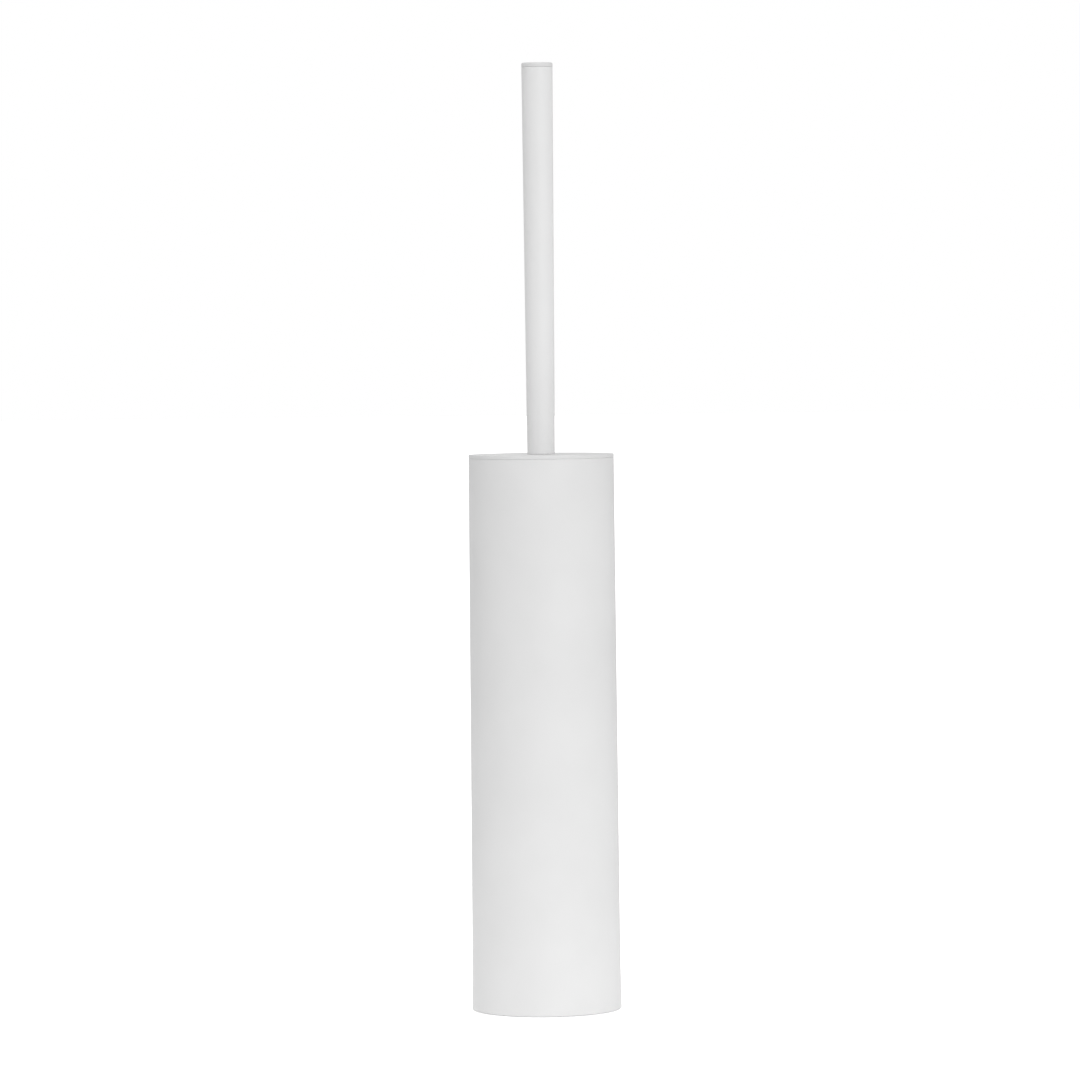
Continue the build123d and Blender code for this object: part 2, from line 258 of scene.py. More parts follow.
def add(tree, kind, settings=None, inputs=None):
    """Adds a node. settings are its own properties; inputs maps its inputs to values, or sockets to link."""
    node = tree.nodes.new(kind)
    for name, value in (settings or {}).items():
        setattr(node, name, value)
    for name, value in (inputs or {}).items():
        if isinstance(value, bpy.types.NodeSocket):
            tree.links.new(value, node.inputs[name])
        else:
            node.inputs[name].default_value = value
    return node


def blank(name):
    """A new material with a Principled shader, its tree, and Object coordinates to lay patterns on."""
    material = bpy.data.materials.new(name)
    material.use_nodes = True
    tree = material.node_tree
    shader = tree.nodes["Principled BSDF"]
    place = add(tree, "ShaderNodeTexCoord").outputs["Object"]
    return material, tree, shader, place


def per_metre(size_mm):
    """A pattern's scale, in features a metre, from the size of one feature in millimetres."""
    return 1000.0 / size_mm


def spread(tree, noise, low_value, high_value):
    """A noise's middle range carried to the range low_value to high_value."""
    inputs = {"Value": noise, "From Min": 0.3, "From Max": 0.7, "To Min": low_value, "To Max": high_value}
    return add(tree, "ShaderNodeMapRange", inputs=inputs).outputs["Result"]


def tinted(tree, noise, dark, light):
    """A colour between two sRGB hex colours by a noise."""
    ramp = add(tree, "ShaderNodeValToRGB", inputs={"Fac": noise})
    ramp.color_ramp.elements[0].position, ramp.color_ramp.elements[1].position = 0.35, 0.65
    ramp.color_ramp.elements[0].color, ramp.color_ramp.elements[1].color = linear(dark), linear(light)
    return ramp.outputs["Color"]


def noise(tree, place, size_mm, detail=2.0):
    """A noise with features of that size in millimetres."""
    inputs = {"Vector": place, "Scale": per_metre(size_mm), "Detail": detail}
    return add(tree, "ShaderNodeTexNoise", inputs=inputs).outputs["Fac"]


def bump(tree, shader, height, depth_mm, strength=1.0):
    """Raises a surface by a pattern, whose full height is depth_mm."""
    inputs = {"Height": height, "Distance": depth_mm * MM, "Strength": strength}
    tree.links.new(add(tree, "ShaderNodeBump", inputs=inputs).outputs["Normal"], shader.inputs["Normal"])


def moulded_abs(name, dark, light):
    """ABS from a spark-eroded mould. The eroded steel leaves a fine even grain that scatters light, so the
    white shows broad soft shading and only a wide faint sheen. The real grain is about 0.1 mm; it is drawn
    at 0.6 mm, the finest that shows."""
    material, tree, shader, place = blank(name)
    grain = noise(tree, place, 0.6, 3.0)
    cloud = noise(tree, place, 45.0)
    tree.links.new(tinted(tree, cloud, dark, light), shader.inputs["Base Color"])
    tree.links.new(spread(tree, cloud, 0.50, 0.58), shader.inputs["Roughness"])
    shader.inputs["IOR"].default_value = 1.53
    shader.inputs["Specular IOR Level"].default_value = 0.35
    bump(tree, shader, grain, 0.012)
    return material


def matte_moulded_abs(colours):
    """The batch of the sleeve and the base, white with a trace of grey."""
    return moulded_abs("matte_moulded_abs", colours.shell_shade, colours.shell)


def painted_light_handle_abs(colours):
    """The sleeve's ABS in a trifle lighter tone for the handle: a lit copy, painted light that stands in for
    the brighter light on the handle.
    """
    return moulded_abs("painted_light_handle_abs", colours.grip_shade, colours.grip)


def painted_seam_shade_abs(colours):
    """The sleeve's ABS in a trifle greyer tone for the lid and the handle's cap: a shaded copy, painted shade
    that stands in for the darker band of shade along their seams."""
    return moulded_abs("painted_seam_shade_abs", colours.closure_shade, colours.closure)


def satin_polypropylene(colours):
    """Injection-moulded polypropylene, unpainted: a milky, slightly see-into white with a satin skin and
    faint flow marks from the mould, drawn as long soft waves down the draw."""
    material, tree, shader, place = blank("satin_polypropylene")
    stretched = add(tree, "ShaderNodeMapping", inputs={"Vector": place, "Scale": (1.0, 1.0, 0.15)})
    flow = noise(tree, stretched.outputs["Vector"], 14.0)
    tree.links.new(tinted(tree, flow, colours.liner_shade, colours.liner), shader.inputs["Base Color"])
    tree.links.new(spread(tree, flow, 0.28, 0.38), shader.inputs["Roughness"])
    shader.inputs["IOR"].default_value = 1.49
    shader.inputs["Subsurface Weight"].default_value = 0.15
    shader.inputs["Subsurface Scale"].default_value = 2 * MM
    bump(tree, shader, flow, 0.05)
    return material


def acetal(colours):
    """Turned and moulded acetal: dense, opaque natural white with a low wax-like gloss."""
    material, tree, shader, place = blank("acetal")
    mottle = noise(tree, place, 3.0)
    tree.links.new(tinted(tree, mottle, "#E4E3DE", "#ECEBE7"), shader.inputs["Base Color"])
    tree.links.new(spread(tree, mottle, 0.30, 0.40), shader.inputs["Roughness"])
    shader.inputs["IOR"].default_value = 1.48
    bump(tree, shader, mottle, 0.01)
    return material


def nitrile_rubber(colours):
    """Compression-moulded nitrile rubber: near black and matte, with a fine mould grain and a little bloom
    that greys it in patches. The grain is drawn at 0.5 mm."""
    material, tree, shader, place = blank("nitrile_rubber")
    bloom = noise(tree, place, 8.0)
    grain = noise(tree, place, 0.5)
    tree.links.new(tinted(tree, bloom, colours.rubber, "#2B2B2D"), shader.inputs["Base Color"])
    tree.links.new(spread(tree, bloom, 0.68, 0.82), shader.inputs["Roughness"])
    shader.inputs["IOR"].default_value = 1.52
    bump(tree, shader, grain, 0.02)
    return material


def soft_elastomer(colours):
    """Moulded thermoplastic elastomer, white: smooth, dry and low in gloss."""
    material, tree, shader, place = blank("soft_elastomer")
    mottle = noise(tree, place, 2.5)
    tree.links.new(tinted(tree, mottle, "#E2E3E4", "#E8E9EA"), shader.inputs["Base Color"])
    tree.links.new(spread(tree, mottle, 0.60, 0.70), shader.inputs["Roughness"])
    shader.inputs["IOR"].default_value = 1.50
    bump(tree, shader, mottle, 0.01)
    return material


def turned_metal(name, dark, light, roughness, line_mm):
    """A metal turned on a lathe: fine rings round the axis catch the light as soft bands across it. The
    rings are noise drawn out round the axis, line_mm apart, wider than real tool marks so that they show."""
    material, tree, shader, place = blank(name)
    flat = add(tree, "ShaderNodeMapping", inputs={"Vector": place, "Scale": (0.02, 0.02, 1.0)})
    rings = noise(tree, flat.outputs["Vector"], line_mm)
    tree.links.new(tinted(tree, rings, dark, light), shader.inputs["Base Color"])
    tree.links.new(spread(tree, rings, roughness, roughness + 0.10), shader.inputs["Roughness"])
    shader.inputs["Metallic"].default_value = 1.0
    bump(tree, shader, rings, 0.003)
    return material


def stainless_steel(colours):
    """Stainless rod and fittings, bright-drawn or turned: a warm grey mirror blurred by fine rings."""
    return turned_metal("stainless_steel", "#C1C0BC", "#CAC9C5", 0.22, 0.5)


def zinc_plated_steel(colours):
    """Zinc-plated turned steel: cooler and duller than stainless, with wider tool marks."""
    return turned_metal("zinc_plated_steel", "#A3A8AD", "#B4B8BC", 0.34, 0.8)


def turned_brass(colours):
    """Turned brass of the threaded inserts: a warm yellow metal with fine bright rings."""
    return turned_metal("turned_brass", "#B9964E", "#CBAA62", 0.24, 0.5)


def nylon_filament(colours):
    """Extruded nylon filament: milky white, a little see-into, and satin. Tufts differ slightly in tone, as
    cut ends and shaded roots do, which the noise gives at the size of a tuft."""
    material, tree, shader, place = blank("nylon_filament")
    tuft = noise(tree, place, 4.0, 1.0)
    tree.links.new(tinted(tree, tuft, colours.bristle_shade, colours.bristle), shader.inputs["Base Color"])
    tree.links.new(spread(tree, tuft, 0.32, 0.42), shader.inputs["Roughness"])
    shader.inputs["IOR"].default_value = 1.53
    shader.inputs["Subsurface Weight"].default_value = 0.10
    shader.inputs["Subsurface Scale"].default_value = 0.5 * MM
    return material


MATERIALS = {}


def finish_of(make):
    """The material that a function makes, made once and then shared."""
    if make not in MATERIALS:
        MATERIALS[make] = make(bpy.context.scene.brush_holder_colours)
    return MATERIALS[make]


# ---------------------------------------------------------------- settings

def length(name, description, millimetres):
    """A length property in metres, from a default in millimetres."""
    return FloatProperty(name=name, description=description, default=millimetres * MM, min=0.0,
                         precision=5, subtype="DISTANCE", unit="LENGTH")


def hex_value(name, description, default):
    """A colour kept as an sRGB hex value."""
    return StringProperty(name=name, description=description, default=default)


class BrushHolderSizes(bpy.types.PropertyGroup):
    wall: length("Sleeve wall", "Thickness of the sleeve's wall at its rim", 2.2)
    flare_height: length("Flare height", "Height of the sleeve's flared foot", 45.5)
    flare: length("Flare", "How much narrower the sleeve is above its flare, on the radius", 0.52)
    rim_round: length("Rim rounding", "Rounding of the sleeve's upper edges", 0.08)
    foot_round: length("Foot rounding", "Rounding of the sleeve's lower outer edge", 0.8)
    lid_round: length("Lid rounding", "Rounding of the lid's edges", 0.25)
    handle_wall: length("Handle wall", "Thickness of the handle's wall", 1.3)
    cap_round: length("Cap rounding", "Rounding of the handle's upper edge", 0.8)
    liner_wall: length("Liner wall", "Thickness of the liner's wall", 1.4)
    liner_floor: length("Liner floor", "Thickness of the liner's floor", 1.8)
    liner_round: length("Liner rounding", "Rounding between the liner's wall and floor, outside", 5.0)
    notch: length("Notch depth", "Depth of the two finger notches in the liner's flange", 1.1)
    filament: length("Filament", "Thickness of a bristle, a little over the real 0.35 mm", 0.42)
    tuft: length("Tuft", "Radius of a tuft where it leaves the core", 1.1)


class BrushHolderCounts(bpy.types.PropertyGroup):
    rows: IntProperty(name="Tuft rows", description="Rows of tufts up the core", default=11, min=1)
    round: IntProperty(name="Tufts round", description="Tufts in each row", default=16, min=3)
    filaments: IntProperty(name="Filaments", description="Filaments in each tuft", default=24, min=1)


class BrushHolderColours(bpy.types.PropertyGroup):
    shell: hex_value("Shell", "White of the moulded shell", "#E6E6E6")
    shell_shade: hex_value("Shell shade", "Its slightly darker tone", "#E3E3E3")
    # The handle's lighter white is painted light: it stands in for the brighter light on the handle.
    grip: hex_value("Handle", "Slightly lighter white of the handle", "#EBEBEB")
    grip_shade: hex_value("Handle shade", "Its slightly darker tone", "#E9E9E9")
    # The greyer white of the lid and the cap is painted shade: it stands in for the shade along their seams.
    closure: hex_value("Lid and cap", "Slightly greyer white of the lid and the cap", "#E3E3E3")
    closure_shade: hex_value("Lid and cap shade", "Their slightly darker tone", "#E0E0E0")
    liner: hex_value("Liner", "Milky white of the liner", "#DDDEDE")
    liner_shade: hex_value("Liner shade", "Its slightly darker tone", "#D4D6D7")
    rubber: hex_value("Rubber", "Near black of the rubber foot", "#1F1F21")
    bristle: hex_value("Bristle", "White of the nylon filaments", "#F6F6F4")
    bristle_shade: hex_value("Bristle shade", "Tone of the shaded tufts", "#E6E6E3")
    floor: hex_value("Floor", "White of the studio floor", "#F2F2F2")


class BrushHolderStage(bpy.types.PropertyGroup):
    distance: FloatProperty(name="Camera distance", description="From the camera to the object's axis",
                            default=3.04, min=0.5, subtype="DISTANCE", unit="LENGTH")
    eye: FloatProperty(name="Camera height", description="Height of the camera above the floor",
                       default=0.374, subtype="DISTANCE", unit="LENGTH")
    aim: FloatProperty(name="Aim height", description="Height on the axis that the camera looks at",
                       default=0.2571, subtype="DISTANCE", unit="LENGTH")
    aside: FloatProperty(name="Aim aside", description="How far left of the axis the camera looks",
                         default=0.0011, subtype="DISTANCE", unit="LENGTH")
    lens: FloatProperty(name="Lens", description="Focal length, on a sensor 36 mm wide",
                        default=185.8, min=10.0, unit="CAMERA")
    roll: FloatProperty(name="Camera roll", description="Turn of the camera about its line of sight",
                        default=math.radians(0.62), subtype="ANGLE", unit="ROTATION")
    key: FloatProperty(name="Key light", description="Power of the soft light in front, at the right",
                       default=20.5, min=0.0, unit="POWER")
    top: FloatProperty(name="Top light", description="Power of the large soft light overhead",
                       default=22.0, min=0.0, unit="POWER")
    glow: FloatProperty(name="Floor glow", description="Power of the light that comes up from the floor",
                        default=0.42, min=0.0, unit="POWER")
    room: FloatProperty(name="Room light", description="Brightness of the pale studio round the object",
                        default=0.58, min=0.0)


# ---------------------------------------------------------------- pieces

def side_bow(z, sizes, rim, foot, bottom, top):
    """How far the sleeve's side lies from the straight line between its foot and its rim. From the rim down
    to the flare the wall is straight; below it, its own slope carries on and a parabola leads out to the
    foot."""
    flare_top = bottom + sizes.flare_height
    waist = foot - sizes.flare
    slope = (waist - rim) / (top - flare_top)
    straight = foot + (rim - foot) * (z - bottom) / (top - bottom)
    wall = rim + slope * (top - z)
    kick = foot - (rim + slope * (top - bottom))
    fall = np.clip((flare_top - z) / sizes.flare_height, 0, 1)
    return wall + kick * fall ** 2 - straight


class BRUSH_HOLDER_OT_sleeve(bpy.types.Operator):
    """Makes the outer sleeve from one turned outline: the drafted wall, the flared foot and the ledge"""
    bl_idname = "brush_holder.sleeve"
    bl_label = "Sleeve"

    def execute(self, context):
        sizes = context.scene.brush_holder_sizes
        bottom, top = low("outer_sleeve").z, high("outer_sleeve").z
        foot, rim = high("outer_sleeve").x, high("lid_disc").x
        bore, shoulder = high("base_plate").x + PLATE_GAP, high("base_plate").z
        ledge_top = low("liner_seat_ring").z
        ledge_low = ledge_top - LEDGE_HEIGHT
        inside = rim - sizes.wall
        outline = rounded([
            (bore, bottom, EASED),
            (foot, bottom, sizes.foot_round),
            (rim, top, sizes.rim_round),
            (inside, top, sizes.rim_round),
            (inside, ledge_top, EASED),
            (LEDGE_RADIUS, ledge_top, EASED),
            (LEDGE_RADIUS, ledge_low, EASED),
            (inside, ledge_low - LEDGE_SLOPE, EASED),
            (bore - SHOULDER_STEP, shoulder, EASED),
            (bore, shoulder),
        ])
        middle_low, middle_high = (foot + bore) / 2, rim - sizes.wall / 2
        share = (outline[:, 1] - bottom) / (top - bottom)
        outer = outline[:, 0] > middle_low + (middle_high - middle_low) * share
        outline[outer, 0] += side_bow(outline[outer, 1], sizes, rim, foot, bottom, top)
        piece("sleeve_shell", lathe(outline), finish_of(matte_moulded_abs),
              "holder", "white_shell", "outer_sleeve")
        return {"FINISHED"}


class BRUSH_HOLDER_OT_base(bpy.types.Operator):
    """Makes the base: its plate with three countersinks, the screws, the ballast, the foot and seat rings"""
    bl_idname = "brush_holder.base"
    bl_label = "Base"

    def execute(self, context):
        underside, top = low("base_plate").z, high("base_plate").z
        edge, groove = high("base_plate").x, high("foot_ring").z
        outline = rounded([
            (0, underside),
            (GROOVE_IN, underside, EASED),
            (GROOVE_IN, groove),
            (GROOVE_OUT, groove),
            (GROOVE_OUT, underside, EASED),
            (edge, underside, EASED),
            (edge, top, EASED),
            (0, top),
        ], closed=False)
        head, sink = SCREW_HEAD + PLATE_GAP, SCREW_HEAD - SCREW_SHANK
        outline = dense(outline, SCREW_CIRCLE - 5 * MM, SCREW_CIRCLE + 5 * MM, PIT_STEP, 0)

        def countersunk(angle, r, z):
            return r, three_pits(angle, r, z, underside, head, lambda away: np.minimum(head - away, sink))

        piece("base_cover", lathe(outline, 2 * SMOOTH_ROUND, countersunk), finish_of(matte_moulded_abs),
              "holder", "base_plastic", "base_plate")

        foot = high("foot_ring")
        outline = rounded([
            (FOOT_RING_BORE, 0, FOOT_RING_ROUND),
            (foot.x, 0, FOOT_RING_ROUND),
            (foot.x, foot.z, EASED),
            (FOOT_RING_BORE, foot.z, EASED),
        ])
        piece("rubber_foot", lathe(outline), finish_of(nitrile_rubber), "holder", "rubber", "foot_ring")

        weight, floor = high("ballast_disc"), low("ballast_disc").z
        outline = rounded([
            (0, floor),
            (weight.x, floor, EASED),
            (weight.x, weight.z, BALLAST_ROUND),
            (0, weight.z),
        ], closed=False)
        outline = dense(outline, SCREW_CIRCLE - 3 * MM, SCREW_CIRCLE + 3 * MM, PIT_STEP, 0)
        tip = weight.z - high("base_screws").z

        def drilled(angle, r, z):
            return r, three_pits(angle, r, z, weight.z, SCREW_SHANK, lambda away: -tip + 0 * away)

        piece("ballast_weight", lathe(outline, 2 * SMOOTH_ROUND, drilled), finish_of(zinc_plated_steel),
              "holder", "ballast_steel", "ballast_disc")

        seat_low, seat = low("liner_seat_ring").z, high("liner_seat_ring")
        outline = rounded([
            (SEAT_BORE, seat_low, EASED),
            (seat.x, seat_low, EASED),
            (seat.x, seat.z, 0.4 * MM),
            (SEAT_BORE, seat.z, 0.4 * MM),
        ])
        piece("seat_ring", lathe(outline), finish_of(soft_elastomer),
              "holder", "soft_ring", "liner_seat_ring")

        face, end = low("base_screws").z, high("base_screws").z
        socket = SOCKET_FLATS / 2
        outline = rounded([
            (0, face + SOCKET_DEPTH),
            (socket, face + SOCKET_DEPTH),
            (socket, face, 0.1 * MM),
            (SCREW_HEAD, face, 0.1 * MM),
            (SCREW_SHANK, face + SCREW_HEAD - SCREW_SHANK),
            (SCREW_SHANK, end, 0.4 * MM),
            (0, end),
        ], closed=False)
        screw = lathe(outline, SMALL_ROUND, hex_socket(socket))
        places = [Matrix.Rotation(k * TURN / 3, 4, "Z") @ Matrix.Translation((SCREW_CIRCLE, 0, 0))
                  for k in range(3)]
        piece("countersunk_screws", joined([moved(screw, place) for place in places]),
              finish_of(stainless_steel), "holder", "stainless", "base_screws")
        return {"FINISHED"}


def hex_socket(radius):
    """A lathe shape that makes the bore up to that radius a hexagon with the same distance to its flats."""
    def shape(angle, r, z):
        inner = r < radius * 1.05
        return np.where(inner, r / radius * hexagon(angle, 2 * radius), r), z
    return shape


class BRUSH_HOLDER_OT_liner(bpy.types.Operator):
    """Makes the lift-out liner: a drafted cup with a rounded floor, a flange and two finger notches"""
    bl_idname = "brush_holder.liner"
    bl_label = "Liner"

    def execute(self, context):
        sizes = context.scene.brush_holder_sizes
        bottom, top = low("liner_cup").z, high("liner_cup").z
        seat = high("liner_seat_ring").z
        flange = high("liner_cup").x
        upper, lower = LINER_UPPER, LINER_LOWER
        outline = rounded([
            (0, bottom),
            (lower, bottom, sizes.liner_round),
            (upper, seat, 0.5 * MM),
            (flange, seat, 0.3 * MM),
            (flange, top, 0.6 * MM),
            (upper - sizes.liner_wall, top, 0.6 * MM),
            (lower - sizes.liner_wall, bottom + sizes.liner_floor, sizes.liner_round - sizes.liner_wall),
            (0, bottom + sizes.liner_floor),
        ], closed=False)

        def notched(angle, r, z):
            flat = (flange - sizes.notch) / np.maximum(abs(np.sin(angle)), 0.5)
            return np.where((z > seat - EASED) & (r > upper), np.minimum(r, flat), r), z

        piece("drip_liner", lathe(outline, shape=notched), finish_of(satin_polypropylene),
              "liner", "liner_plastic", "liner_cup")
        return {"FINISHED"}


class BRUSH_HOLDER_OT_lid(bpy.types.Operator):
    """Makes the lid: its thin plate, the seam ring and the locating ring under it, and the stem's bush"""
    bl_idname = "brush_holder.lid"
    bl_label = "Lid"

    def execute(self, context):
        sizes = context.scene.brush_holder_sizes
        under, top, rim = low("lid_disc").z, high("lid_disc").z, high("lid_disc").x
        flange, step = high("lid_bush").x, high("lid_bush").z - BUSH_STEP
        barrel = flange - BUSH_LIP
        outline = rounded([
            (barrel, under),
            (rim, under, CRISP),
            (rim, top, sizes.lid_round),
            (flange, top, 0.1 * MM),
            (flange, step),
            (barrel, step),
        ])
        # The lid's greyer tone is painted shade along its seam.
        piece("lid_plate", lathe(outline), finish_of(painted_seam_shade_abs), "lid", "white_shell", "lid_disc")

        gasket_low, gasket = low("lid_gasket").z, high("lid_gasket").x
        outline = rounded([
            (GASKET_BORE, gasket_low, CRISP),
            (gasket, gasket_low, CRISP),
            (gasket, under),
            (GASKET_BORE, under),
        ])
        piece("seam_ring", lathe(outline), finish_of(soft_elastomer), "lid", "soft_ring", "lid_gasket")

        hem, locator = low("lid_locator").z, high("lid_locator").x
        outline = rounded([
            (barrel + BUSH_FIT, under - LOCATOR_WEB),
            (locator - LOCATOR_WALL, under - LOCATOR_WEB, 0.8 * MM),
            (locator - LOCATOR_WALL, hem, 0.4 * MM),
            (locator, hem, 0.8 * MM),
            (locator, under),
            (barrel + BUSH_FIT, under),
        ])
        piece("locating_ring", lathe(outline), finish_of(satin_polypropylene),
              "lid", "liner_plastic", "lid_locator")

        end, flush = low("lid_bush").z, high("lid_bush").z
        outline = rounded([
            (STEM_HOLE, end, 0.3 * MM),
            (barrel - BUSH_FIT, end, 0.4 * MM),
            (barrel - BUSH_FIT, step + BUSH_FIT),
            (flange - BUSH_FIT, step + BUSH_FIT),
            (flange - BUSH_FIT, flush, 0.15 * MM),
            (STEM_HOLE, flush, 0.3 * MM),
        ])
        piece("stem_bush", lathe(outline, SMALL_ROUND), finish_of(acetal), "lid", "bush_plastic", "lid_bush")
        return {"FINISHED"}


class BRUSH_HOLDER_OT_handle(bpy.types.Operator):
    """Makes the tapered handle and the plug that caps it, with a fine seam between them"""
    bl_idname = "brush_holder.handle"
    bl_label = "Handle"

    def execute(self, context):
        sizes = context.scene.brush_holder_sizes
        foot_z, end_z = low("handle_tube").z, high("handle_tube").z
        end, cap_top, cap = high("handle_tube").x, high("handle_cap").z, high("handle_cap").x
        outline = rounded([
            (HANDLE_FOOT - sizes.handle_wall, foot_z, EASED),
            (HANDLE_FOOT, foot_z, CRISP),
            (end, end_z, CRISP),
            (end - sizes.handle_wall, end_z, EASED),
        ])
        # The handle's lighter tone is painted light.
        piece("handle_shell", lathe(outline, SMALL_ROUND), finish_of(painted_light_handle_abs),
              "brush", "white_shell", "handle_tube")

        plug = end - sizes.handle_wall - CAP_GAP
        outline = rounded([
            (0, low("handle_cap").z),
            (plug, low("handle_cap").z, 0.5 * MM),
            (plug, end_z + CAP_SEAM),
            (cap, end_z + CAP_SEAM, CRISP),
            (cap, cap_top, sizes.cap_round),
            (0, cap_top),
        ], closed=False)
        # The cap's greyer tone is painted shade along its seam.
        piece("handle_end_cap", lathe(outline, SMALL_ROUND), finish_of(painted_seam_shade_abs),
              "brush", "white_shell", "handle_cap")
        return {"FINISHED"}


class BRUSH_HOLDER_OT_stem(bpy.types.Operator):
    """Makes the stem with its rolled thread, the collar and its grub screw, the lock nut and the washer"""
    bl_idname = "brush_holder.stem"
    bl_label = "Stem and fittings"

    def execute(self, context):
        end, top, rod = low("stem").z, high("stem").z, high("stem").x
        outline = rounded([
            (0, end),
            (rod - STEM_CHAMFER, end),
            (rod, end + STEM_CHAMFER),
            (rod, THREAD_TOP),
            (rod, top - STEM_CHAMFER),
            (rod - STEM_CHAMFER, top),
            (0, top),
        ], closed=False)
        outline = dense(outline, end + STEM_CHAMFER, THREAD_TOP, THREAD_PITCH / 10, 1)

        def threaded(angle, r, z):
            """A right-hand thread: its depth is a triangle wave of height over pitch less angle over a turn,
            cut flat at its crests and roots, and it runs out over one pitch at its top."""
            wave = abs((z / THREAD_PITCH - angle / TURN) % 1 - 0.5) * 2
            groove = np.clip((wave - THREAD_FLAT) / (1 - 2 * THREAD_FLAT), 0, 1)
            fade = np.clip((THREAD_TOP - z) / THREAD_PITCH, 0, 1)
            deep = np.where(r > rod - 0.3 * MM, THREAD_DEPTH * groove * fade, 0)
            return r - deep, z

        piece("threaded_stem", lathe(outline, SMALL_ROUND, threaded), finish_of(stainless_steel),
              "brush", "stainless", "stem")

        bottom, top, ring = low("stem_collar").z, high("stem_collar").z, high("stem_collar").x
        middle = (bottom + top) / 2
        screw_end, screw_face = low("collar_screw").x, high("collar_screw").x
        thread = high("collar_screw").y
        outline = rounded([
            (rod, bottom, 0.3 * MM),
            (ring, bottom, 0.5 * MM),
            (ring, top, 0.5 * MM),
            (rod, top, 0.3 * MM),
        ])
        outline = dense(outline, bottom, top, 0.15 * MM, 1)

        def tapped(angle, r, z):
            away = np.hypot(r * np.sin(angle), z - middle)
            hole = (away < thread + GRUB_GAP) & (np.cos(angle) > 0) & (r > ring - GRUB_HOLE_DEPTH)
            return np.where(hole, screw_face - GRUB_HOLE_DEPTH, r), z

        piece("collar_ring", lathe(outline, 2 * SMOOTH_ROUND, tapped), finish_of(stainless_steel),
              "brush", "stainless", "stem_collar")

        reach, socket = screw_face - screw_end, GRUB_FLATS / 2
        outline = rounded([
            (0, 0),
            (thread, 0, 0.4 * MM),
            (thread, reach, 0.2 * MM),
            (socket, reach, 0.1 * MM),
            (socket, reach - SOCKET_DEPTH),
            (0, reach - SOCKET_DEPTH),
        ], closed=False)
        place = Matrix.Translation((screw_end, 0, middle)) @ Matrix.Rotation(TURN / 4, 4, "Y")
        piece("grub_screw", moved(lathe(outline, SMALL_ROUND, hex_socket(socket)), place),
              finish_of(stainless_steel), "brush", "stainless", "collar_screw")

        bottom, top, corner = low("lock_nut").z, high("lock_nut").z, high("lock_nut").x
        face = NUT_FLATS / 2 - NUT_INSET
        outline = rounded([
            (rod, bottom, 0.4 * MM),
            (face, bottom, 0.1 * MM),
            (corner, bottom + NUT_SLOPE),
            (corner, top - NUT_SLOPE),
            (face, top, 0.1 * MM),
            (rod, top, 0.4 * MM),
        ])
        outline = dense(outline, bottom, top, 0.5 * MM, 1)

        def six_sided(angle, r, z):
            return np.where(r > face - EASED, np.minimum(r, hexagon(angle, NUT_FLATS)), r), z

        piece("hexagon_nut", lathe(outline, SMOOTH_ROUND, six_sided), finish_of(stainless_steel),
              "brush", "stainless", "lock_nut")

        bottom, top, ring = low("seal_washer").z, high("seal_washer").z, high("seal_washer").x
        outline = rounded([
            (WASHER_HOLE, bottom, EASED),
            (ring, bottom, 0.4 * MM),
            (ring, top, 0.4 * MM),
            (WASHER_HOLE, top, EASED),
        ])
        piece("rubber_washer", lathe(outline, SMALL_ROUND), finish_of(nitrile_rubber),
              "washer", "rubber", "seal_washer")
        return {"FINISHED"}


class BRUSH_HOLDER_OT_core(bpy.types.Operator):
    """Makes the moulded core of the brush head, with the bore for its threaded insert"""
    bl_idname = "brush_holder.core"
    bl_label = "Brush core"

    def execute(self, context):
        bottom, top, side = low("brush_core").z, high("brush_core").z, high("brush_core").x
        outline = rounded([
            (0, bottom),
            (side, bottom, 3.0 * MM),
            (side, top - CORE_SHOULDER, 0.6 * MM),
            (side - CORE_SHOULDER, top, 0.6 * MM),
            (CORE_BORE, top, EASED),
            (CORE_BORE, CORE_BORE_FLOOR),
            (0, CORE_BORE_FLOOR),
        ], closed=False)
        piece("core_body", lathe(outline, SMALL_ROUND), finish_of(acetal),
              "head", "bush_plastic", "brush_core")
        return {"FINISHED"}


def brush_space(points):
    """Whether points lie inside the trimmed brush: a cylinder whose lower edge is a large quarter round and
    whose upper edge is a small one. Near each edge that is a distance to the round's centre circle."""
    wide, bottom, top = high("side_bristles").x, low("tip_bristles").z, high("side_bristles").z
    out = np.hypot(points[..., 0], points[..., 1])
    under = np.hypot(np.maximum(out - wide + BRISTLE_CORNER, 0),
                     np.maximum(bottom + BRISTLE_CORNER - points[..., 2], 0))
    over = np.hypot(np.maximum(out - wide + BRISTLE_SHOULDER, 0),
                    np.maximum(points[..., 2] - top + BRISTLE_SHOULDER, 0))
    return (under < BRISTLE_CORNER) & (over < BRISTLE_SHOULDER)


def trimmed(roots, along):
    """The length of each filament, from its root to where its line leaves the brush's trimmed form, found by
    halving the interval."""
    short, long = np.zeros(len(roots)), np.full(len(roots), LONGEST_BRISTLE)
    for _ in range(HALVINGS):
        middle = (short + long) / 2
        inside = brush_space(roots + along * middle[:, None])
        short, long = np.where(inside, middle, short), np.where(inside, long, middle)
    return short


